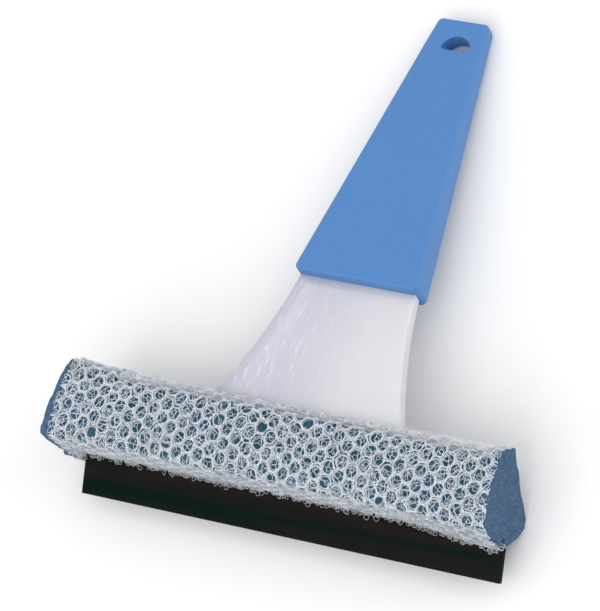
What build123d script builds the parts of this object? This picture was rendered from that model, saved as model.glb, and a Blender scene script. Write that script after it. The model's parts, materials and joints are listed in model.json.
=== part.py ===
"""Window cleaning squeegee: a rubber blade and a mesh-covered sponge on one clear head,
with a tapered sleeve over the handle. It lies on its back, on the sponge's back corner
and the tip of the handle, with the scrubbing face up."""

import os
from math import asin, atan2, cos, hypot, radians, sin, sqrt

from build123d import *

os.makedirs("parts", exist_ok=True)

# All sizes are in millimetres and degrees. On the head, heights run up from the line
# where the blade leaves the sponge, and depths run back from the blade's middle plane.
# On the handle, lengths run from the bend and depths from the handle's middle plane.

# Rubber blade: a lip that flexes and a root whose bead the head grips.
blade_length = 200.0
blade_thickness = 2.2
lip_height = 14.5
bead_radius = 2.4
bead_height = 9.0
hinge_gap = 0.3

# Blade carrier: a web with a channel along its lower edge, hidden in the sponge.
carrier_end_inset = 6.5
channel_depth = 8.4
channel_bottom = 4.4
channel_top = 14.0
web_thickness = 3.0
bead_clearance = 0.05

# Flange that presses on the sponge's top.
flange_depth = 16.6
flange_thickness = 2.2
flange_top = 40.2
flange_inset_left = 22.9
flange_inset_right = 3.5
flange_corner_radius = 2.0
flange_edge_radius = 0.6

# Sponge. Its past sizes say how far it reaches beyond the blade's ends.
sponge_height = 42.0
sponge_top_depth = 16.6
sponge_depth = 43.4
sponge_corner_radius = 3.0
sponge_back_height = 9.0
sponge_front_height = 12.6
sponge_front_turn = 6.0
sponge_back_turn = 30.0
sponge_under_turn = 55.0
sponge_past_left = 11.7
sponge_past_right = -0.7
sponge_end_lean = 3.8
sponge_clearance = 0.1

# Scrubbing mesh, stretched over the sponge's front and the front of its underside.
mesh_thickness = 1.2
mesh_blade_gap = 4.0
mesh_inset_left = 5.0
mesh_inset_right = 1.5

# Handle core: flared neck and tang, one clear moulding with the flange and carrier.
handle_lean = 32.7
handle_offset = 3.4
bend_height = 40.8
neck_front = 2.5
neck_back_at_root = 4.0
neck_back_at_mouth = 2.2
neck_root_width = 89.2
neck_foot_width = 104.0
neck_foot_radius = 4.0
neck_wall = 1.8
neck_edge_radius = 0.6
tang_length = 91.0
tang_corner_radius = 3.0

# Sleeve over the tang.
sleeve_start = 58.6
sleeve_length = 131.6
sleeve_mouth_width = 58.8
sleeve_mouth_depth = 15.6
sleeve_tip_depth = 8.0
sleeve_shoulder_length = 14.0
sleeve_shoulder_width = 28.0
sleeve_tip_width = 24.0
sleeve_side_wall = 1.8
sleeve_front_radius = 1.6
sleeve_back_radius = 2.4
sleeve_mouth_corner_radius = 2.6
sleeve_tip_corner_radius = 2.4
tang_clearance = 0.05

# Arched hanging hole, flat on the side of the mouth, in a shallow dish.
hang_hole_width = 13.6
hang_hole_height = 7.2
hang_hole_from_tip = 15.2
hang_hole_offset = 1.0
hang_hole_corner_radius = 1.2
hang_dish_radius = 10.0
hang_dish_sink = 1.0

# ---------------------------------------------------------------------------
# Sizes that follow from those above

lip_half = blade_thickness / 2
root_bottom = lip_half + hinge_gap
flange_seat = flange_top - flange_thickness
corner_centre_depth = sponge_depth / 2 - sponge_corner_radius
slit_width = blade_thickness + 2 * hinge_gap + 2 * sponge_clearance

carrier_length = blade_length - 2 * carrier_end_inset
sponge_left = -blade_length / 2 - sponge_past_left
sponge_right = blade_length / 2 + sponge_past_right
flange_left = sponge_left + sponge_end_lean + flange_inset_left
flange_right = sponge_right - sponge_end_lean - flange_inset_right

sleeve_tip = sleeve_start + sleeve_length
tang_end = sleeve_start + tang_length
lean = radians(handle_lean)
neck_foot_length = (flange_top - bend_height - neck_front * sin(lean)) / cos(lean)
neck_mouth_width = sleeve_mouth_width - 2 * sleeve_side_wall - 2 * tang_clearance
side_taper = (sleeve_mouth_width - sleeve_shoulder_width) / 2
side_taper /= sleeve_length - sleeve_shoulder_length
tang_end_width = neck_mouth_width - 2 * side_taper * tang_length
depth_taper = (sleeve_mouth_depth - sleeve_tip_depth) / 2 / sleeve_length

# How closely an edge or a corner must lie to the place it is picked by.
fine = 0.01

# ---------------------------------------------------------------------------
# Lying pose. The floor touches two rounded edges, the sponge's back corner and the
# sleeve's tip, so its slope to the head is that of a common tangent to two circles.


def tip_circle(radius):
    """Centre of the rounding along the sleeve's tip: its length and its depth."""
    depth = sleeve_tip_depth / 2 + depth_taper * radius - radius * sqrt(1 + depth_taper**2)
    return sleeve_tip - radius, depth


tip_back_length, tip_back_depth = tip_circle(sleeve_back_radius)
tip_front_length, tip_front_depth = tip_circle(sleeve_front_radius)
run_back = tip_back_length * sin(lean) + tip_back_depth * cos(lean) - corner_centre_depth
run_up = bend_height + tip_back_length * cos(lean) - tip_back_depth * sin(lean)
run_up -= sponge_back_height
radius_step = sponge_corner_radius - sleeve_back_radius
head_tilt = atan2(run_back, run_up) - asin(radius_step / hypot(run_back, run_up))
handle_dip = lean - head_tilt

up_head = Vector(0, cos(head_tilt), sin(head_tilt))
back_head = Vector(0, sin(head_tilt), -cos(head_tilt))
along_handle = Vector(0, cos(handle_dip), -sin(handle_dip))
out_of_handle = Vector(0, sin(handle_dip), cos(handle_dip))

# The origin is under the middle of the whole object, at floor level.
blade_line_x = -(sponge_left + max(sponge_right, blade_length / 2)) / 2
blade_line_z = sponge_corner_radius + corner_centre_depth * cos(head_tilt)
blade_line_z -= sponge_back_height * sin(head_tilt)
lip_edge_y = -lip_height * cos(head_tilt) - lip_half * sin(head_tilt)
tip_edge_y = bend_height * cos(head_tilt) + tip_front_length * cos(handle_dip)
tip_edge_y += tip_front_depth * sin(handle_dip) + sleeve_front_radius
blade_line_y = -(lip_edge_y + tip_edge_y) / 2
blade_line = Vector(blade_line_x, blade_line_y, blade_line_z)
bend_point = blade_line + up_head * bend_height + Vector(handle_offset, 0, 0)

# Head seen from its right end (x back, y up), from its front (x right, y up) and from
# above (x right, y back).
head_end = Plane(origin=blade_line, x_dir=back_head, z_dir=(1, 0, 0))
head_front = Plane(origin=blade_line, x_dir=(1, 0, 0), z_dir=back_head * -1)
head_top = Plane(origin=blade_line, x_dir=(1, 0, 0), z_dir=up_head)
# Handle seen from its front (x right, y to the tip) and its side (x to the tip, y out).
handle_front = Plane(origin=bend_point, x_dir=(1, 0, 0), z_dir=out_of_handle)
handle_side = Plane(origin=bend_point, x_dir=along_handle, z_dir=(1, 0, 0))
handle_normal = Axis(bend_point, out_of_handle)


def sponge_section():
    """Bell-shaped end profile: fuller at the front (-x), where its corner is higher, and
    hollowed at the back (+x)."""
    back_top = (sponge_top_depth / 2, sponge_height)
    front_top = (-sponge_top_depth / 2, sponge_height)
    with BuildSketch() as section:
        with BuildLine():
            back_corner = CenterArc(
                (corner_centre_depth, sponge_back_height),
                sponge_corner_radius,
                -sponge_under_turn,
                sponge_under_turn + sponge_back_turn,
            )
            front_corner = CenterArc(
                (-corner_centre_depth, sponge_front_height),
                sponge_corner_radius,
                180 - sponge_front_turn,
                sponge_front_turn + sponge_under_turn,
            )
            TangentArc(back_corner @ 1, back_top, tangent=back_corner % 1)
            Line(back_top, front_top)
            TangentArc(front_corner @ 0, front_top, tangent=(front_corner % 0) * -1)
            TangentArc(front_corner @ 1, (-slit_width / 2, 0), tangent=front_corner % 1)
            Line((-slit_width / 2, 0), (slit_width / 2, 0))
            TangentArc(back_corner @ 0, (slit_width / 2, 0), tangent=(back_corner % 0) * -1)
        make_face()
    return section.sketch


def sponge_front_view(inset_left=0.0, inset_right=0.0):
    """Front view of the sponge: its ends lean in towards the top."""
    slope = sponge_end_lean / sponge_height
    left = sponge_left + inset_left
    right = sponge_right - inset_right
    with BuildSketch() as view:
        with BuildLine():
            Polyline(
                (left - slope * lip_height, -lip_height),
                (right + slope * lip_height, -lip_height),
                (right - slope * 2 * sponge_height, 2 * sponge_height),
                (left + slope * 2 * sponge_height, 2 * sponge_height),
                close=True,
            )
        make_face()
    return view.sketch


def neck_outline(grow=0.0):
    """Front view of the neck and tang, with a foot that spreads along the flange.
    The neck's curved sides run smoothly into the sleeve's straight ones."""
    root_half = neck_root_width / 2 + grow
    mouth_half = neck_mouth_width / 2 + grow
    foot_half = neck_foot_width / 2 + grow
    mouth = (mouth_half, sleeve_start)
    root = (root_half, neck_foot_length)
    with BuildSketch() as outline:
        with BuildLine():
            Polyline(
                (0, -flange_depth),
                (foot_half, -flange_depth),
                (foot_half, neck_foot_length),
                root,
            )
            TangentArc(mouth, root, tangent=(side_taper, -1))
            Polyline(
                mouth,
                (tang_end_width / 2 + grow, tang_end + grow),
                (0, tang_end + grow),
            )
            mirror(about=Plane.YZ)
        make_face()
        fillet(outline.vertices().group_by(Axis.Y)[-1], tang_corner_radius + grow)
        foot_corners = outline.vertices().filter_by_position(
            Axis.Y, neck_foot_length - fine, neck_foot_length + fine
        )
        fillet(
            foot_corners.filter_by_position(Axis.X, -root_half - fine, root_half + fine),
            neck_foot_radius,
        )
    return outline.sketch


def on_flange_rim(edge):
    """True for the edges around the flange's upper face, not those at the neck."""
    spot = head_top.to_local_coords(edge.center())
    near_side = abs(spot.Y) > flange_depth / 2 - flange_corner_radius
    near_left = spot.X < flange_left + flange_corner_radius
    near_right = spot.X > flange_right - flange_corner_radius
    return abs(spot.Z - flange_top) < fine and (near_side or near_left or near_right)


# --- blade_lip: the rubber that shows, rounded along the top where it flexes ---
with BuildPart() as blade_lip:
    with BuildSketch(head_end.offset(-blade_length / 2)):
        with Locations((0, -lip_height / 2)):
            Rectangle(blade_thickness, lip_height)
        Circle(lip_half)
    extrude(amount=blade_length)
blade_lip.part.label = "blade_lip"
export_step(blade_lip.part, "parts/blade_lip.step")

# --- blade_root: the stem and bead that the carrier grips ---
with BuildPart() as blade_root:
    with BuildSketch(head_end.offset(-carrier_length / 2)):
        with Locations((0, (root_bottom + bead_height) / 2)):
            Rectangle(blade_thickness, bead_height - root_bottom)
        with Locations((0, bead_height)):
            Circle(bead_radius)
    extrude(amount=carrier_length)
blade_root.part.label = "blade_root"
export_step(blade_root.part, "parts/blade_root.step")

# --- head_frame: carrier, flange, neck and tang in one clear moulding ---
with BuildPart() as head_frame:
    # Neck and tang: the front view, cut to the side view and hollowed from the back, from
    # the foot to near the tang's end.
    with BuildSketch(handle_front):
        add(neck_outline())
    extrude(amount=sleeve_mouth_depth, both=True)
    with BuildSketch(handle_side):
        with BuildLine():
            Polyline(
                (-flange_depth, -neck_back_at_root),
                (0, -neck_back_at_root),
                (sleeve_start, -neck_back_at_mouth),
                (tang_end, -neck_back_at_mouth),
                (tang_end, neck_front),
                (-flange_depth, neck_front),
                close=True,
            )
        make_face()
    extrude(amount=blade_length, both=True, mode=Mode.INTERSECT)
    pocket_length = tang_end - neck_wall - neck_foot_length
    with BuildSketch(handle_front.offset(neck_front - neck_wall)):
        add(neck_outline(grow=-neck_wall))
        with Locations((0, neck_foot_length + pocket_length / 2)):
            Rectangle(neck_foot_width, pocket_length, mode=Mode.INTERSECT)
    extrude(amount=-sleeve_mouth_depth, mode=Mode.SUBTRACT)
    # The neck's foot ends at the flange's seat.
    with BuildSketch(head_end):
        with Locations((0, flange_seat - blade_length)):
            Rectangle(2 * blade_length, 2 * blade_length)
    extrude(amount=blade_length, both=True, mode=Mode.SUBTRACT)
    neck_face = head_frame.faces().sort_by(handle_normal)[-1]
    fillet(neck_face.edges(), neck_edge_radius)
    # Flange, lying on the sponge.
    with BuildSketch(head_top.offset(flange_seat)):
        with Locations(((flange_left + flange_right) / 2, 0)):
            RectangleRounded(flange_right - flange_left, flange_depth, flange_corner_radius)
    extrude(amount=flange_thickness)
    fillet(head_frame.edges().filter_by(on_flange_rim), flange_edge_radius)
    # Web and channel, with the bore that holds the rubber's bead.
    with BuildSketch(head_end.offset(-carrier_length / 2)):
        with Locations((0, (channel_bottom + flange_seat) / 2)):
            Rectangle(web_thickness, flange_seat - channel_bottom)
        with Locations((0, (channel_bottom + channel_top) / 2)):
            Rectangle(channel_depth, channel_top - channel_bottom)
        with Locations((0, (channel_bottom + bead_height) / 2)):
            Rectangle(
                blade_thickness + 2 * bead_clearance,
                bead_height - channel_bottom,
                mode=Mode.SUBTRACT,
            )
        with Locations((0, bead_height)):
            Circle(bead_radius + bead_clearance, mode=Mode.SUBTRACT)
    extrude(amount=carrier_length)
head_frame.part.label = "head_frame"
export_step(head_frame.part, "parts/head_frame.step")

# --- sponge: one block of foam, slit from below for the carrier ---
with BuildPart() as sponge:
    with BuildSketch(head_end):
        add(sponge_section())
    extrude(amount=blade_length, both=True)
    with BuildSketch(head_front):
        add(sponge_front_view())
    extrude(amount=sponge_depth, both=True, mode=Mode.INTERSECT)
    # The flange squeezes the foam down between its two free ends.
    with BuildSketch(head_top.offset(flange_seat)):
        with Locations(((flange_left + flange_right) / 2, 0)):
            Rectangle(
                flange_right - flange_left + 2 * sponge_clearance,
                2 * sponge_depth,
            )
    extrude(amount=sponge_height, mode=Mode.SUBTRACT)
    # Room for the carrier, closed at both ends.
    with BuildSketch(head_end.offset(-carrier_length / 2 - sponge_clearance)):
        with Locations((0, (channel_bottom + flange_seat + sponge_clearance) / 2)):
            Rectangle(
                web_thickness + 2 * sponge_clearance,
                flange_seat + sponge_clearance - channel_bottom,
            )
        with Locations((0, (channel_bottom + channel_top + sponge_clearance) / 2)):
            Rectangle(
                channel_depth + 2 * sponge_clearance,
                channel_top + sponge_clearance - channel_bottom,
            )
    extrude(amount=carrier_length + 2 * sponge_clearance, mode=Mode.SUBTRACT)
    # Slit for the rubber between the carrier and the lip.
    with BuildSketch(head_end.offset(-blade_length / 2 - hinge_gap)):
        Rectangle(slit_width, 2 * channel_bottom)
    extrude(amount=blade_length + 2 * hinge_gap, mode=Mode.SUBTRACT)
sponge.part.label = "sponge"
export_step(sponge.part, "parts/sponge.step")

# --- scrub_mesh: a skin over the sponge's front and the front of its underside ---
with BuildPart() as scrub_mesh:
    with BuildSketch(head_end):
        add(sponge_section())
        offset(amount=mesh_thickness)
        add(sponge_section(), mode=Mode.SUBTRACT)
        with Locations((-(sponge_depth + mesh_blade_gap) / 2, (flange_seat - lip_height) / 2)):
            Rectangle(
                sponge_depth - mesh_blade_gap,
                flange_seat + lip_height,
                mode=Mode.INTERSECT,
            )
    extrude(amount=blade_length, both=True)
    with BuildSketch(head_front):
        add(sponge_front_view(mesh_inset_left, mesh_inset_right))
    extrude(amount=sponge_depth, both=True, mode=Mode.INTERSECT)
scrub_mesh.part.label = "scrub_mesh"
export_step(scrub_mesh.part, "parts/scrub_mesh.step")

# --- grip_sleeve: tapered sleeve pushed over the tang, with the hanging hole ---
with BuildPart() as grip_sleeve:
    shoulder = (sleeve_shoulder_width / 2, sleeve_tip - sleeve_shoulder_length)
    with BuildSketch(handle_front) as sleeve_view:
        with BuildLine():
            Line((0, sleeve_start), (sleeve_mouth_width / 2, sleeve_start))
            Line((sleeve_mouth_width / 2, sleeve_start), shoulder)
            TangentArc(shoulder, (sleeve_tip_width / 2, sleeve_tip), tangent=(-side_taper, 1))
            Line((sleeve_tip_width / 2, sleeve_tip), (0, sleeve_tip))
            mirror(about=Plane.YZ)
        make_face()
        fillet(sleeve_view.vertices().group_by(Axis.Y)[0], sleeve_mouth_corner_radius)
        fillet(sleeve_view.vertices().group_by(Axis.Y)[-1], sleeve_tip_corner_radius)
    extrude(amount=sleeve_mouth_depth, both=True)
    with BuildSketch(handle_side):
        with BuildLine():
            Polyline(
                (sleeve_start, -sleeve_mouth_depth / 2),
                (sleeve_tip, -sleeve_tip_depth / 2),
                (sleeve_tip, sleeve_tip_depth / 2),
                (sleeve_start, sleeve_mouth_depth / 2),
                close=True,
            )
        make_face()
    extrude(amount=sleeve_mouth_width, both=True, mode=Mode.INTERSECT)
    broad_faces = grip_sleeve.faces().sort_by(SortBy.AREA)[-2:].sort_by(handle_normal)
    fillet(broad_faces[0].edges(), sleeve_back_radius)
    broad_faces = grip_sleeve.faces().sort_by(SortBy.AREA)[-2:].sort_by(handle_normal)
    fillet(broad_faces[-1].edges(), sleeve_front_radius)
    # Shallow dish in the front, then the arched hole right through it.
    hole_flat = sleeve_tip - hang_hole_from_tip
    hole_middle = hole_flat + hang_hole_height / 2
    face_depth = sleeve_tip_depth / 2 + depth_taper * (sleeve_tip - hole_middle)
    dish_sphere = (hang_dish_radius**2 + hang_dish_sink**2) / (2 * hang_dish_sink)
    dish_rise = face_depth + dish_sphere - hang_dish_sink
    dish_plane = handle_front.offset(dish_rise)
    with Locations(dish_plane.from_local_coords((hang_hole_offset, hole_middle, 0))):
        Sphere(dish_sphere, mode=Mode.SUBTRACT)
    hole_left = hang_hole_offset - hang_hole_width / 2
    hole_right = hang_hole_offset + hang_hole_width / 2
    with BuildSketch(handle_front) as hole_view:
        with BuildLine():
            ThreePointArc(
                (hole_right, hole_flat),
                (hang_hole_offset, hole_flat + hang_hole_height),
                (hole_left, hole_flat),
            )
            Line((hole_left, hole_flat), (hole_right, hole_flat))
        make_face()
        fillet(hole_view.vertices(), hang_hole_corner_radius)
    extrude(amount=sleeve_mouth_depth, both=True, mode=Mode.SUBTRACT)
    # Socket for the tang.
    with BuildSketch(handle_front.offset(-neck_back_at_mouth - tang_clearance)) as socket:
        with BuildLine():
            mouth_half = neck_mouth_width / 2 + tang_clearance
            end_half = tang_end_width / 2 + tang_clearance
            Polyline(
                (0, sleeve_start - sleeve_side_wall),
                (mouth_half + side_taper * sleeve_side_wall, sleeve_start - sleeve_side_wall),
                (end_half, tang_end + tang_clearance),
                (0, tang_end + tang_clearance),
            )
            mirror(about=Plane.YZ)
        make_face()
        fillet(socket.vertices().group_by(Axis.Y)[-1], tang_corner_radius + tang_clearance)
    extrude(
        amount=neck_front + neck_back_at_mouth + 2 * tang_clearance,
        mode=Mode.SUBTRACT,
    )
grip_sleeve.part.label = "grip_sleeve"
export_step(grip_sleeve.part, "parts/grip_sleeve.step")
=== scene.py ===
"""Window squeegee on a pale floor: finishes, foam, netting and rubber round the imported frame."""

import json
import random
from bisect import bisect
from functools import lru_cache
from math import atan2, cos, pi, radians, sin

import bmesh
import bpy
from mathutils import Matrix, Quaternion, Vector, noise
from mathutils.bvhtree import BVHTree


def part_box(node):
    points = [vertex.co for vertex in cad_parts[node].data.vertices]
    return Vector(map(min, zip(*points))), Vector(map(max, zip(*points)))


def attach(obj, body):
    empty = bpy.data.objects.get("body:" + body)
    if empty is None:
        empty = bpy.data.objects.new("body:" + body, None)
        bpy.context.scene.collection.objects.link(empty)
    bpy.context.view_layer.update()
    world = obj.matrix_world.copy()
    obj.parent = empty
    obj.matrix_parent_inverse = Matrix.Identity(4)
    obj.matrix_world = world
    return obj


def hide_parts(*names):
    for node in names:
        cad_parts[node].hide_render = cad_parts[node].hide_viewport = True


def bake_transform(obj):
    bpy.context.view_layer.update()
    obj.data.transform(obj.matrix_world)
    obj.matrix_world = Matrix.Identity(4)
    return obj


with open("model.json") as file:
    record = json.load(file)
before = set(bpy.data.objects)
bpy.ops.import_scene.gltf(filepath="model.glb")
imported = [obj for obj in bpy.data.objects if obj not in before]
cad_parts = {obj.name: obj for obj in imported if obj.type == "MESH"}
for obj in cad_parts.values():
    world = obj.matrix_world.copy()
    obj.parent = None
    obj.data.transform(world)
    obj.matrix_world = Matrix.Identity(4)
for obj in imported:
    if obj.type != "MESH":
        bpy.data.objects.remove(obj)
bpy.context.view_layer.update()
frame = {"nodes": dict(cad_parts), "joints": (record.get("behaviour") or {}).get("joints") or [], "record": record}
mm = 0.001

# Directions of the tool as it lies: the blade's line is the flex joint's, the handle's face
# is square to the hanging hole, and the head is bent back from the handle by one angle.
blade_line = Vector(frame["joints"][0]["pos_m"])
along_blade = Vector((1, 0, 0))
hanging_hole = next(m for m in frame["record"]["mounts"] if m["name"] == "hang_hole")
out_of_handle = Vector(hanging_hole["axis"])
handle_dip = atan2(out_of_handle.y, out_of_handle.z)
handle_lean = radians(32.7)
head_tilt = handle_lean - handle_dip
head_up = Vector((0, cos(head_tilt), sin(head_tilt)))
head_back = Vector((0, sin(head_tilt), -cos(head_tilt)))

# --- Grip sleeve ---------------------------------------------------------------------------
# A blue injection moulding pushed over the handle. Its satin face has the fine, even grain of
# an etched mould, rubbed a little smoother and paler where a hand closes round it.


class Wire:
    """A number, colour or vector on its way through a finish's nodes."""

    def __init__(self, finish, socket):
        self.finish = finish
        self.socket = socket

    def maths(self, operation, first, second):
        return self.finish.node("Math", {"operation": operation}, {0: first, 1: second})

    def __add__(self, other):
        return self.maths("ADD", self, other)

    def __sub__(self, other):
        return self.maths("SUBTRACT", self, other)

    def __rsub__(self, other):
        return self.maths("SUBTRACT", other, self)

    def __mul__(self, other):
        return self.maths("MULTIPLY", self, other)

    __radd__ = __add__
    __rmul__ = __mul__


class Finish:
    """A material being made up: its even values are set on the shader, the rest is wired."""

    def __init__(self, name, **even):
        self.material = bpy.data.materials.new(name)
        self.material.use_nodes = True
        self.tree = self.material.node_tree
        self.shader = self.tree.nodes["Principled BSDF"]
        for socket, value in even.items():
            self.shader.inputs[socket.replace("_", " ")].default_value = value
        self.place = self.node("TexCoord", out="Object")

    def node(self, kind, settings=None, sockets=None, out=0):
        """Adds a node with its settings and the values or wires of its sockets."""
        made = self.tree.nodes.new("ShaderNode" + kind)
        for name, value in (settings or {}).items():
            if name == "stops":
                while len(made.color_ramp.elements) < len(value):
                    made.color_ramp.elements.new(0.5)
                for element, (position, shade) in zip(made.color_ramp.elements, value):
                    element.position = position
                    element.color = shade
            else:
                setattr(made, name, value)
        for name, value in (sockets or {}).items():
            if isinstance(value, Wire):
                self.tree.links.new(value.socket, made.inputs[name])
            else:
                made.inputs[name].default_value = value
        return Wire(self, made.outputs[out])

    def grain(self, size, detail=3.0, stretch=(1, 1, 1)):
        """Soft noise whose blobs are about size across, in metres."""
        where = self.node("Mapping", {}, {"Vector": self.place, "Scale": stretch})
        return self.node("TexNoise", {}, {"Vector": where, "Scale": 1 / size, "Detail": detail})

    def ramp(self, amount, *stops):
        """Colours or greys picked along amount."""
        return self.node("ValToRGB", {"stops": stops}, {"Fac": amount})

    def mixed(self, amount, first, second):
        settings = {"data_type": "RGBA"}
        sockets = {"Factor": amount, 6: first, 7: second}
        return self.node("Mix", settings, sockets, out=2)

    def feed(self, **wires):
        for name, wire in wires.items():
            self.tree.links.new(wire.socket, self.shader.inputs[name.replace("_", " ")])

    def bump(self, height, depth, strength=1.0):
        sockets = {"Height": height, "Distance": depth, "Strength": strength}
        self.feed(Normal=self.node("Bump", {}, sockets))


def grey(level):
    return (level, level, level, 1)


sleeve_satin = Finish("sleeve_satin", IOR=1.49, Specular_IOR_Level=0.5)
mould_grain = sleeve_satin.grain(0.5 * mm, 4.0)
hand_rub = sleeve_satin.grain(28 * mm, 2.0)
pigment = sleeve_satin.grain(3 * mm, 5.0)
sleeve_blue = sleeve_satin.mixed(pigment, (0.052, 0.185, 0.46, 1), (0.066, 0.212, 0.50, 1))
sleeve_blue = sleeve_satin.mixed(hand_rub * 0.3, sleeve_blue, (0.08, 0.23, 0.51, 1))
sleeve_satin.feed(Base_Color=sleeve_blue, Roughness=mould_grain * 0.16 + 0.4 - hand_rub * 0.1)
sleeve_satin.bump(mould_grain, 0.09 * mm, 0.6)
frame["nodes"]["grip_sleeve"].data.materials[0] = sleeve_satin.material

# --- Clear head ----------------------------------------------------------------------------
# Flange, flared neck and tang are one clear styrene moulding, polished, with the faint lilac
# cast of the resin and long shallow flow lines where it filled the neck from one side.
# Across the neck the colour is painted paler towards the right, as painted light, and a
# deeper lilac towards the left, as painted shade.

clear_styrene = Finish("clear_styrene", IOR=1.45, Roughness=0.06, Transmission_Weight=0.5)
flow = clear_styrene.grain(1.6 * mm, 2.0, (1.4, 0.12, 1))
resin_cast = clear_styrene.grain(30 * mm, 2.0)
flow_lines = clear_styrene.ramp(flow, (0.6, grey(0)), (0.66, grey(1)))
side = clear_styrene.node("SeparateXYZ", {}, {"Vector": clear_styrene.place})
# Painted light and shade: the colour runs from a deeper lilac at the left (painted shade) to a paler tint at the
# right (painted light). The same ramp keeps the flow lines to the left.
left_shading_and_flow = clear_styrene.ramp(side * 20 + 0.5, (0.35, grey(1)), (0.95, grey(0)))
resin_and_painted_shading = clear_styrene.mixed(left_shading_and_flow, (0.96, 0.96, 0.99, 1), (0.77, 0.755, 0.87, 1))
resin_and_painted_shading = clear_styrene.mixed(resin_cast * 0.3, resin_and_painted_shading, (0.90, 0.89, 0.95, 1))
resin_and_painted_shading = clear_styrene.mixed(flow_lines * left_shading_and_flow * 0.8, resin_and_painted_shading, (0.98, 0.98, 1.0, 1))
clear_styrene.feed(Base_Color=resin_and_painted_shading)
clear_styrene.bump(flow, 0.15 * mm, 0.25)
frame["nodes"]["head_frame"].data.materials[0] = clear_styrene.material

# --- Rubber blade --------------------------------------------------------------------------
# One black rubber strip, its stem held in the carrier and its squared lip free below the
# sponge, where it bends as it is drawn over glass. It is cut from a long extrusion.

lip_low, lip_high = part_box("blade_lip")
root_low, root_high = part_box("blade_root")
blade_thickness = 2.2 * mm
lip_height = 14.5 * mm
body_rise = 4 * mm
stem_height = 4 * mm
cut_edge_round = 0.12 * mm
bend_step = 0.9 * mm
bend_steps = 23
blade_ends = (lip_low.x - blade_line.x, lip_high.x - blade_line.x)
body_ends = (blade_ends[0] + 1 * mm, blade_ends[1] - 5 * mm)
stem_ends = (root_low.x - blade_line.x, root_high.x - blade_line.x)

in_head = Matrix.Translation(blade_line) @ Matrix(
    (
        (1, 0, 0, 0),
        (0, head_back.y, head_up.y, 0),
        (0, head_back.z, head_up.z, 0),
        (0, 0, 0, 1),
    )
)


def made_of(finish, name, mesh):
    """A piece with this mesh in the scene, in its own finish."""
    mesh.materials.clear()
    mesh.materials.append(finish.material)
    piece = bpy.data.objects.new(name, mesh)
    bpy.context.scene.collection.objects.link(piece)
    return piece


strip = bmesh.new()
bmesh.ops.create_cube(strip, size=1)
strip_size = (blade_ends[1] - blade_ends[0], blade_thickness, lip_height)
bmesh.ops.scale(strip, vec=strip_size, verts=strip.verts)
strip_middle = (sum(blade_ends) / 2, 0, -lip_height / 2)
bmesh.ops.translate(strip, vec=strip_middle, verts=strip.verts)
for ends, rise in ((body_ends, body_rise), (stem_ends, stem_height)):
    for end in ends:
        everything = strip.verts[:] + strip.edges[:] + strip.faces[:]
        bmesh.ops.bisect_plane(strip, geom=everything, plane_co=(end, 0, 0), plane_no=(1, 0, 0))
    highest = max(v.co.z for v in strip.verts) - 0.1 * mm
    strip_top = [
        f
        for f in strip.faces
        if f.calc_center_median().z > highest and ends[0] < f.calc_center_median().x < ends[1]
    ]
    risen = bmesh.ops.extrude_face_region(strip, geom=strip_top)["geom"]
    bmesh.ops.delete(strip, geom=strip_top, context="FACES_ONLY")
    risen = [v for v in risen if isinstance(v, bmesh.types.BMVert)]
    bmesh.ops.translate(strip, vec=(0, 0, rise), verts=risen)
long_edges = [
    e
    for e in strip.edges
    if e.is_manifold
    and e.calc_face_angle() > 1
    and min(v.co.z for v in e.verts) < -lip_height / 2
]
bmesh.ops.bevel(
    strip,
    geom=long_edges,
    offset=cut_edge_round,
    segments=2,
    affect="EDGES",
    profile=0.5,
    material=-1,
)
for step in range(1, bend_steps + 1):
    everything = strip.verts[:] + strip.edges[:] + strip.faces[:]
    cut = (0, 0, -lip_height + step * bend_step)
    bmesh.ops.bisect_plane(strip, geom=everything, plane_co=cut, plane_no=(0, 0, 1))
bmesh.ops.transform(strip, matrix=in_head, verts=strip.verts)
bmesh.ops.recalc_face_normals(strip, faces=strip.faces)

black_rubber = Finish("black_rubber", IOR=1.52, Specular_IOR_Level=0.02)
drawn_lines = black_rubber.grain(1.2 * mm, 3.0, (0.05, 1, 1))
dust = black_rubber.grain(7 * mm, 4.0)
bloom = black_rubber.grain(9 * mm, 2.0, (0.06, 1, 1))
bloom = black_rubber.ramp(bloom, (0.4, grey(0)), (0.6, grey(1)))
green_black = (0.0014, 0.0085, 0.0058, 1)
brown_black = (0.0125, 0.0098, 0.0092, 1)
rubber_black = black_rubber.mixed(bloom, green_black, brown_black)
rubber_black = black_rubber.mixed(dust * drawn_lines * 0.08, rubber_black, (0.05, 0.05, 0.045, 1))
black_rubber.feed(Base_Color=rubber_black, Roughness=dust * 0.18 + drawn_lines * 0.08 + 0.36)
black_rubber.bump(drawn_lines, 0.05 * mm, 0.5)

strip_mesh = bpy.data.meshes.new("rubber_strip")
strip.to_mesh(strip_mesh)
strip.free()
blade = made_of(black_rubber, "rubber_strip", strip_mesh)
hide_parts("blade_lip", "blade_root")
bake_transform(blade)

# --- Foam sponge ---------------------------------------------------------------------------
# One block of open-cell foam, cut to a bell section and slit from below for the carrier. The
# flange presses it down, so its free ends ramp up beside it, and the left one bulges a little.

foam_cell = 1.1 * mm
foam_height = 42 * mm
top_half_depth = 8.3 * mm
pressed_from = 30 * mm
flange_top = 40.2 * mm
flange_left = blade_line.x - 80 * mm
flange_right = blade_line.x + 92 * mm
left_rise, left_front_rise, left_tip_rise = 0.6, 2.4, 2.2
right_rise, right_front_rise = 1.4, 1.9
foam_low, foam_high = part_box("sponge")
drawn_up = 4.2 * mm
drawn_up_at_left = 0.45
drawn_below = 14 * mm
drawn_from = foam_low.x + 14 * mm
drawn_to = foam_high.x - 48 * mm


def eased(amount):
    """0 to 1, flat at both ends."""
    amount = min(max(amount, 0.0), 1.0)
    return amount * amount * (3 - 2 * amount)


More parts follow.
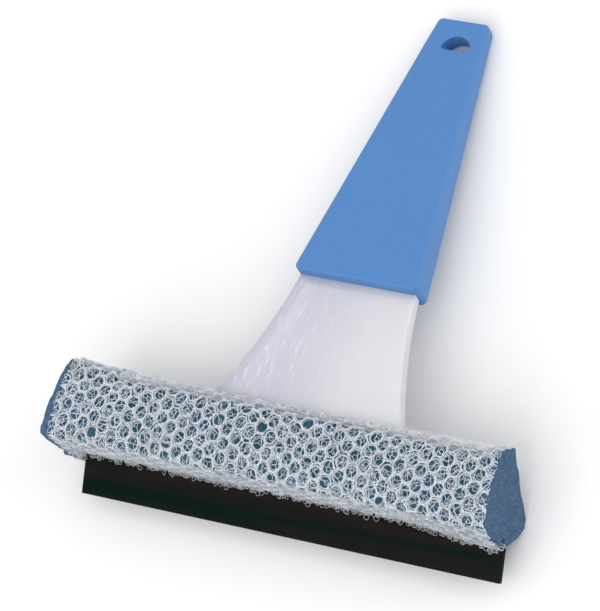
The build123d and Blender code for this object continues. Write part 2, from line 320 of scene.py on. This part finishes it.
def foam_top(x, depth):
    """Height of the foam's top: level with the flange at its ends, and rising away from them,
    more in front than behind."""
    if flange_left < x < flange_right:
        return foam_height
    forward = eased(0.5 - depth / (2 * top_half_depth))
    if x < flange_left:
        free = (flange_left - x) / (flange_left - foam_low.x)
        in_front = free**3 * left_front_rise + free**6 * left_tip_rise
        return flange_top + (free * left_rise + in_front * forward) * mm
    free = (x - flange_right) / (foam_high.x - flange_right)
    return flange_top + (free * right_rise + free * right_front_rise * forward) * mm


def foam_drawn_up(x):
    """How far the stretched net draws the foam's front lower edge up at x."""
    if x < drawn_from:
        along = eased((x - foam_low.x) / (drawn_from - foam_low.x))
        return drawn_up * (drawn_up_at_left + (1 - drawn_up_at_left) * along)
    return drawn_up * (1 - eased((x - drawn_to) / (foam_high.x - drawn_to)))


block = bmesh.new()
block.from_mesh(frame["nodes"]["sponge"].data)
bmesh.ops.remove_doubles(block, verts=block.verts, dist=0.001 * mm)
foam_mesh = bpy.data.meshes.new("foam_block")
block.to_mesh(foam_mesh)
block.free()
foam_holder = bpy.data.objects.new("foam_holder", foam_mesh)
bpy.context.scene.collection.objects.link(foam_holder)
remesh = foam_holder.modifiers.new("cells", "REMESH")
remesh.mode = "VOXEL"
remesh.voxel_size = foam_cell
remesh.use_smooth_shade = True
relax = foam_holder.modifiers.new("relax", "SMOOTH")
relax.factor = 0.5
relax.iterations = 3
bpy.context.view_layer.update()
ready = foam_holder.evaluated_get(bpy.context.evaluated_depsgraph_get())
foam_mesh = bpy.data.meshes.new_from_object(ready)
bpy.data.objects.remove(foam_holder)

end_bulge = 2.4 * mm
end_bulge_reach = 16 * mm
end_slant = 2.0 * mm
block = bmesh.new()
block.from_mesh(foam_mesh)
for vertex in block.verts:
    from_line = vertex.co - blade_line
    height = from_line.dot(head_up)
    depth = from_line.dot(head_back)
    if height > pressed_from:
        top = foam_top(vertex.co.x, depth)
        share = (top - pressed_from) / (foam_height - pressed_from)
        vertex.co += head_up * (height - pressed_from) * (share - 1)
    elif depth < 0 and height < drawn_below:
        vertex.co += head_up * foam_drawn_up(vertex.co.x) * (1 - height / drawn_below)
    crown = max(0.0, 1 - ((height - foam_height / 2) / (foam_height / 2)) ** 2)
    fade = max(0.0, 1 - (vertex.co.x - foam_low.x) / end_bulge_reach) ** 2
    vertex.co.x -= (0.3 * mm + end_slant * max(0.0, height) / foam_height) * fade
    if depth < 0:
        vertex.co -= head_back * end_bulge * crown * fade
    ripple = noise.noise(vertex.co / (9 * mm)) * 0.25 * mm
    ripple += noise.noise(vertex.co / (2.2 * mm)) * 0.1 * mm
    vertex.co += vertex.normal * ripple
bmesh.ops.recalc_face_normals(block, faces=block.faces)

# Under the net the foam is painted darker: a painted shade standing in for the net's shadow.
end_lean = 3.8 * mm / foam_height
net_left = foam_low.x + 4.2 * mm
shade_right_margin = 1.2 * mm
shade_edge_blend = 1.5 * mm
shade_front_depth = 6 * mm
netted = block.verts.layers.float.new("netted")
for vertex in block.verts:
    height = (vertex.co - blade_line).dot(head_up)
    depth = (vertex.co - blade_line).dot(head_back)
    foam_end = foam_high.x - end_lean * height
    inside = min(vertex.co.x - net_left, foam_end - shade_right_margin - vertex.co.x)
    vertex[netted] = eased(inside / shade_edge_blend) * eased(0.5 - depth / shade_front_depth)

blue_foam = Finish("blue_foam", Roughness=0.95, Specular_IOR_Level=0.1)
cells = blue_foam.node("TexVoronoi", {}, {"Vector": blue_foam.place, "Scale": 1 / (0.8 * mm)})
small_cells = blue_foam.node(
    "TexVoronoi", {}, {"Vector": blue_foam.place, "Scale": 1 / (0.4 * mm)}
)
mottle = blue_foam.grain(2.5 * mm, 4.0)
saw_marks = blue_foam.grain(2 * mm, 2.0, (1, 0.3, 1))
cell_tone = cells * 0.45 + small_cells * 0.3 + mottle * 0.35 + saw_marks * 0.2
foam_blue = blue_foam.ramp(
    cell_tone,
    (0.3, (0.027, 0.060, 0.108, 1)),
    (0.6, (0.050, 0.101, 0.180, 1)),
    (0.95, (0.12, 0.18, 0.28, 1)),
)
# Painted shade: where the net lies, the foam's colour is mixed towards a dark teal-blue, in random patches.
painted_shade_amount = blue_foam.node("Attribute", {"attribute_name": "netted"}, out="Fac")
shade_patches = blue_foam.ramp(blue_foam.grain(7 * mm, 2.0), (0.4, grey(0)), (0.62, grey(1)))
painted_shade_blue = blue_foam.mixed(shade_patches, (0.012, 0.060, 0.080, 1), (0.040, 0.105, 0.17, 1))
painted_shade_blue = blue_foam.mixed(mottle * 0.4, painted_shade_blue, (0.05, 0.11, 0.16, 1))
blue_foam.feed(Base_Color=blue_foam.mixed(painted_shade_amount * 0.85, foam_blue, painted_shade_blue))
blue_foam.bump(cell_tone, 0.4 * mm, 0.8)

block.to_mesh(foam_mesh)
foam = made_of(blue_foam, "foam_block", foam_mesh)
foam_mesh.shade_smooth()
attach(foam, "head_and_handle")
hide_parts("sponge")

# --- Scrubbing net -------------------------------------------------------------------------
# White plastic filament knitted into a net of round openings, stretched from over the
# flange's front edge down the foam's face and round its lower corner to the blade. Its cut
# ends are ragged, and it bunches into a fringe where it turns under.

column_width = 5.1 * mm
stitch_length = 6.5 * mm
filament = 0.25 * mm
fine_filament = 0.2 * mm
net_core = (-9 * mm, 18 * mm)
flange_front = (-8.3 * mm, 38 * mm)
net_length = 53.5 * mm
net_over_flange = 3 * mm
net_over_foam = 18 * mm
net_past_right = 1.0 * mm
net_lean = 0.055
lobe_length = 9 * mm
corner_height = 12 * mm
end_margin = 4.3 * mm
profile_spare = 10 * mm
chance = random.Random(11)
noise.seed_set(11)

block.from_mesh(frame["nodes"]["head_frame"].data)
under_net = BVHTree.FromBMesh(block)
block.free()


def cast(x, angle):
    """What the net lies on at x, looking in at an angle round the net's core."""
    spoke = head_back * cos(angle) + head_up * sin(angle)
    core = Vector((x, blade_line.y, blade_line.z))
    core += head_back * net_core[0] + head_up * net_core[1]
    hit, normal, _, _ = under_net.ray_cast(core + spoke * 60 * mm, -spoke)
    if hit is None:
        return core + spoke * 20 * mm, spoke
    return hit, normal if normal.dot(spoke) > 0 else -normal


def height_of(place):
    return (place - blade_line).dot(head_up)


first_angle = atan2(flange_front[1] - net_core[1], flange_front[0] - net_core[0])
turn = radians(1)
profile = [(0.0, first_angle)]
before = cast(0, first_angle)[0]
while profile[-1][0] < net_length + profile_spare:
    angle = profile[-1][1] + turn
    here = cast(0, angle)[0]
    profile.append((profile[-1][0] + (here - before).length, angle))
    if height_of(here) > corner_height:
        corner_run = profile[-1][0]
    before = here
before = cast(0, first_angle)[0]
while profile[0][0] > -net_over_foam - 4 * mm:
    angle = profile[0][1] - turn
    here = cast(0, angle)[0]
    profile.insert(0, (profile[0][0] - (here - before).length, angle))
    before = here


def angle_at(run):
    """Angle round the core that lies run along the net from under the flange's edge."""
    after = min(max(bisect(profile, (run, 0)), 1), len(profile) - 1)
    low, high = profile[after - 1], profile[after]
    return low[1] + (high[1] - low[1]) * (run - low[0]) / (high[0] - low[0])


@lru_cache(maxsize=None)
def net_ends(half_millimetre):
    """How far the net reaches left and right at this run."""
    height = height_of(cast(0, angle_at(half_millimetre * 0.5 * mm))[0])
    return net_left, foam_high.x + net_past_right - net_lean * height


def in_net(x, run):
    left, right = net_ends(round(run / (0.5 * mm)))
    free_end = x < flange_left or x > flange_right
    top = -net_over_foam if free_end else -net_over_flange
    bottom = net_length + (lobe_length if x < lip_low.x else 0)
    return left < x < right and top < run < bottom


def on_foam(x, run, lift):
    """Point at x and run, lifted off the foam; past the foam's ends it carries straight on."""
    inside = min(max(x, foam_low.x + end_margin), foam_high.x - end_margin)
    hit, normal = cast(inside, angle_at(run))
    return hit + normal * lift + along_blade * (x - inside)


def slack(x, run):
    """Where a stitch really sits, as hand tension pulls them out of their ranks."""
    drift = noise.noise_vector(Vector((x, run, 0)) / (30 * mm))
    jitter = noise.noise_vector(Vector((x, run, 5 * mm)) / (4 * mm))
    return x + (drift.x * 1.6 + jitter.x * 0.7) * mm, run + (drift.y * 1.8 + jitter.y * 0.6) * mm


def hoop(x, run, radius, lift, points=12, wobble=0.1, stretch=1.08):
    """A filament that closes on itself round a stitch."""
    start = chance.uniform(0, 2 * pi)
    stretch *= chance.uniform(0.92, 1.08)
    path = []
    for step in range(points):
        turned = start + 2 * pi * step / points
        reach = radius * (1 + chance.uniform(-wobble, wobble))
        raised = lift + chance.uniform(-0.15, 0.2) * mm
        path.append((x + reach * cos(turned), run + reach * stretch * sin(turned), raised))
    return path, True


def strand(first, last, lift, points=4, bow=0.3 * mm):
    """A filament from one place on the net to another, slightly bowed."""
    bend_x, bend_run = chance.uniform(-bow, bow), chance.uniform(-bow, bow)
    path = []
    for step in range(points):
        share = step / (points - 1)
        swell = sin(pi * share)
        across = first[0] + (last[0] - first[0]) * share + bend_x * swell
        down = first[1] + (last[1] - first[1]) * share + bend_run * swell
        path.append((across, down, lift + swell * 0.2 * mm))
    return path, False


def knot(x, run, strands, reach, lift):
    """Filament ends crossing over and over where three stitches meet."""
    crossing = []
    for _ in range(strands):
        turned = chance.uniform(0, 2 * pi)
        long = reach * chance.uniform(0.7, 1.3)
        off_x, off_run = chance.uniform(-0.3, 0.3) * mm, chance.uniform(-0.3, 0.3) * mm
        near = (x + off_x - long * cos(turned), run + off_run - long * sin(turned))
        far = (x + off_x + long * cos(turned), run + off_run + long * sin(turned))
        crossing.append(strand(near, far, lift + chance.uniform(-0.1, 0.3) * mm, 3))
    return crossing


def tendril(x, run, reach, lift, points=6):
    """A loose curl of filament that stands off the net."""
    heading = chance.uniform(0, 2 * pi)
    curl = chance.uniform(-0.9, 0.9)
    path = []
    for step in range(points):
        swell = sin(pi * step / (points - 1))
        path.append((x, run, 0.4 * mm + lift * swell))
        heading += curl
        x += reach / points * cos(heading)
        run += reach / points * sin(heading)
    return path, False


def dangle(x, run, radius, lift, points=9):
    """A loop that stands square to the net, its middle lifted off it."""
    path = []
    for step in range(points):
        turned = 2 * pi * step / points
        reach = radius * (1 + chance.uniform(-0.2, 0.2))
        beside = run + chance.uniform(-0.3, 0.3) * mm
        path.append((x + reach * cos(turned), beside, lift + reach * sin(turned)))
    return path, True


def knit(name, paths, thickness, finish):
    """Lays the paths on the foam, cuts them at the net's ends and makes them one mesh."""
    curve = bpy.data.curves.new(name, "CURVE")
    curve.dimensions = "3D"
    curve.bevel_depth = thickness / 2
    curve.bevel_resolution = 0
    curve.use_fill_caps = True
    for path, closed in paths:
        kept = [in_net(x, run) for x, run, _ in path]
        if closed and not all(kept):
            out = kept.index(False)
            path, kept, closed = path[out:] + path[:out], kept[out:] + kept[:out], False
        pieces, piece = [], []
        for place, keep in zip(path, kept):
            if keep:
                piece.append(on_foam(*place))
            elif piece:
                pieces.append(piece)
                piece = []
        for points in pieces + [piece]:
            if len(points) > 1:
                spline = curve.splines.new("POLY")
                spline.points.add(len(points) - 1)
                for held, point in zip(spline.points, points):
                    held.co = (*point, 1)
                spline.use_cyclic_u = closed
    holder = bpy.data.objects.new(name + "_line", curve)
    bpy.context.scene.collection.objects.link(holder)
    bpy.context.view_layer.update()
    ready = holder.evaluated_get(bpy.context.evaluated_depsgraph_get())
    mesh = bpy.data.meshes.new_from_object(ready)
    mesh.shade_smooth()
    bpy.data.objects.remove(holder)
    piece = made_of(finish, name, mesh)
    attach(piece, "head_and_handle")
    return piece


white_filament = Finish("white_filament", IOR=1.5, Specular_IOR_Level=0.5)
yarn_tone = white_filament.grain(3 * mm, 4.0)
white_filament.feed(
    Base_Color=white_filament.mixed(yarn_tone, (0.64, 0.71, 0.78, 1), (0.86, 0.87, 0.93, 1)),
    Roughness=yarn_tone * 0.2 + 0.3,
)

# Where it bunches, and in its curls, the filament is a darker, mottled grey.
bunched_filament = Finish("bunched_filament", IOR=1.5, Specular_IOR_Level=0.4)
bunch_tone = bunched_filament.grain(1.2 * mm, 3.0)
bunched_filament.feed(
    Base_Color=bunched_filament.mixed(bunch_tone, (0.30, 0.34, 0.36, 1), (0.68, 0.71, 0.73, 1)),
    Roughness=bunch_tone * 0.2 + 0.35,
)

# Each opening has three hoops round it, three walls and the two knots to its left and right.
stitches, insides = [], []
knot_reach = 3.4 * mm
wall_half = 1.7 * mm
inner_hoop, middle_hoop, outer_hoop = 2.45 * mm, 2.65 * mm, 2.9 * mm
inner_lift, middle_lift, outer_lift = 0.45 * mm, 0.75 * mm, 0.95 * mm
rim_x, rim_run = 2.5 * mm, 2.6 * mm
empty_share = 0.03
last_column = int((foam_high.x - foam_low.x) / column_width) + 2
first_row = -int(net_over_foam / stitch_length) - 1
last_row = int(net_length / stitch_length) + 2
for column in range(-1, last_column):
    for row in range(first_row, last_row):
        x = foam_low.x + column * column_width
        x, run = slack(x, (row + 0.5 * (column % 2)) * stitch_length)
        stitches.append(hoop(x, run, inner_hoop, inner_lift))
        stitches.append(hoop(x, run, middle_hoop, middle_lift))
        stitches.append(hoop(x, run, outer_hoop, outer_lift, 10, 0.06))
        right = (x + knot_reach, run)
        upper = (x + wall_half, run + stitch_length / 2)
        lower = (x + wall_half, run - stitch_length / 2)
        stitches.append(strand(right, upper, outer_lift))
        stitches.append(strand(right, lower, outer_lift))
        stitches.append(strand(upper, (x - wall_half, upper[1]), outer_lift))
        stitches += knot(*right, 3, 1.4 * mm, 1.0 * mm)
        stitches += knot(x - knot_reach, run, 3, 1.4 * mm, 1.0 * mm)
        if chance.random() < empty_share:
            continue
        for _ in range(chance.choice((1, 2, 2, 3))):
            turned = chance.uniform(0, 2 * pi)
            across = turned + chance.uniform(0.6, 1.2) * pi
            rim = (x + rim_x * cos(turned), run + rim_run * sin(turned))
            far = (x + rim_x * cos(across), run + rim_run * sin(across))
            insides.append(strand(rim, far, 0.4 * mm, 5, 0.8 * mm))
        for _ in range(chance.choice((1, 1, 1, 2))):
            off = chance.uniform(0, 2 * pi)
            middle = (x + 0.8 * mm * cos(off), run + 0.8 * mm * sin(off))
            ring = chance.uniform(0.7, 1.5) * mm
            insides.append(hoop(*middle, ring, 0.5 * mm, 10, 0.14, 1.0))
            spokes = chance.choice((2, 3, 4))
            for spoke in range(spokes):
                turned = off + 2 * pi * (spoke + chance.uniform(-0.3, 0.3)) / spokes
                rim = (x + rim_x * cos(turned), run + rim_run * sin(turned))
                near = (middle[0] + ring * cos(turned), middle[1] + ring * sin(turned))
                insides.append(strand(near, rim, 0.55 * mm, 3))

# Under the corner it bunches, in a lobe left of the blade. Loops of it hang over the blade, and
# curls lie over the flange.
fringe = []
fringe_step = 0.38 * mm
bunched_run = 19 * mm
bunch_start = 1.5 * mm
for step in range(int((foam_high.x - foam_low.x) / fringe_step)):
    x = foam_low.x + step * fringe_step
    bunched = bunched_run if x > lip_low.x else bunched_run + lobe_length
    place = (x + chance.uniform(-0.4, 0.4) * mm, corner_run + chance.uniform(bunch_start, bunched))
    radius = chance.uniform(0.6, 1.5) * mm
    fringe.append(hoop(*place, radius, chance.uniform(0.4, 1.1) * mm, 9, 0.2))
    place = (x + chance.uniform(-0.4, 0.4) * mm, corner_run + chance.uniform(bunch_start, bunched))
    radius = chance.uniform(0.5, 1.0) * mm
    fringe.append(dangle(*place, radius, radius + chance.uniform(0.1, 0.7) * mm))
    if x < lip_low.x:
        for _ in range(3):
            place = (x, net_length + chance.uniform(-5, 8.5) * mm)
            fringe.append(hoop(*place, chance.uniform(0.5, 1.3) * mm, 0.6 * mm, 9, 0.2))
    place = (x, corner_run + chance.uniform(0, bunched))
    fringe.append(tendril(*place, chance.uniform(2.5, 5) * mm, chance.uniform(0.4, 1.2) * mm))
    place = (x, chance.uniform(-3, 2.5) * mm)
    fringe.append(tendril(*place, chance.uniform(2.5, 5) * mm, chance.uniform(0.2, 1.0) * mm))
    if step % 2 == 0 and noise.noise(Vector((x, 0, 0)) / (5 * mm)) > -0.15:
        place = (x + chance.uniform(-1, 1) * mm, net_length - chance.uniform(1, 6) * mm)
        radius = chance.uniform(0.5, 1.1) * mm
        fringe.append(dangle(*place, radius, radius + chance.uniform(0.6, 1.6) * mm))

net = knit("net_stitches", stitches, filament, white_filament)
net_inside = knit("net_inside_loops", insides, fine_filament, white_filament)
net_fringe = knit("net_fringe", fringe, fine_filament, bunched_filament)
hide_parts("scrub_mesh")

# --- Stage ---------------------------------------------------------------------------------
# A pale floor under soft light from all round, with one large lamp down to the left and one
# up to the right, seen through a long lens from above and to the right of the head.

view_azimuth = radians(62.79)
view_elevation = radians(59.06)
view_roll = radians(-48.17)
view_distance = 2.0
view_lens = 278.5
aim = Vector((-0.0172, -0.0222, 0.020))

floor_mesh = bpy.data.meshes.new("floor")
ground = bmesh.new()
bmesh.ops.create_grid(ground, x_segments=2, y_segments=2, size=6.0)
ground.to_mesh(floor_mesh)
ground.free()
pale_floor = Finish("pale_floor", Roughness=0.9, Specular_IOR_Level=0.1)
floor_tone = pale_floor.grain(0.4, 2.0)
pale_floor.feed(Base_Color=pale_floor.mixed(floor_tone, grey(0.88), grey(0.9)))
floor_mesh.materials.append(pale_floor.material)
floor = bpy.data.objects.new("floor", floor_mesh)
bpy.context.scene.collection.objects.link(floor)

towards_camera = Vector(
    (
        sin(view_azimuth) * cos(view_elevation),
        -cos(view_azimuth) * cos(view_elevation),
        sin(view_elevation),
    )
)
turned = towards_camera.to_track_quat("Z", "Y") @ Quaternion((0, 0, 1), view_roll)
lens = bpy.data.cameras.new("camera")
lens.lens = view_lens
lens.sensor_width = 36
lens.clip_start = 0.1
lens.clip_end = 50
camera = bpy.data.objects.new("camera", lens)
camera.location = aim + towards_camera * view_distance
camera.rotation_mode = "QUATERNION"
camera.rotation_quaternion = turned
bpy.context.scene.collection.objects.link(camera)
bpy.context.scene.camera = camera


def lamp(name, direction, distance, size, power):
    """A large soft lamp in that direction, turned towards the tool."""
    light = bpy.data.lights.new(name, "AREA")
    light.shape = "DISK"
    light.size = size
    light.energy = power
    holder = bpy.data.objects.new(name, light)
    holder.location = direction.normalized() * distance
    holder.rotation_mode = "QUATERNION"
    holder.rotation_quaternion = direction.to_track_quat("Z", "Y")
    holder.visible_camera = False
    bpy.context.scene.collection.objects.link(holder)


picture_right = turned @ Vector((1, 0, 0))
picture_up = turned @ Vector((0, 1, 0))
lamp("key", towards_camera * 0.8 - picture_right * 0.5 - picture_up * 0.4, 1.6, 1.5, 9)
lamp("fill", towards_camera * 0.7 + picture_right * 0.6 + picture_up * 0.5, 2.0, 1.6, 7)

surround = bpy.data.worlds.new("surround")
surround.use_nodes = True
surround.node_tree.nodes["Background"].inputs["Color"].default_value = (1, 1, 1, 1)
surround.node_tree.nodes["Background"].inputs["Strength"].default_value = 0.92
bpy.context.scene.world = surround
bpy.context.scene.view_settings.view_transform = "Standard"
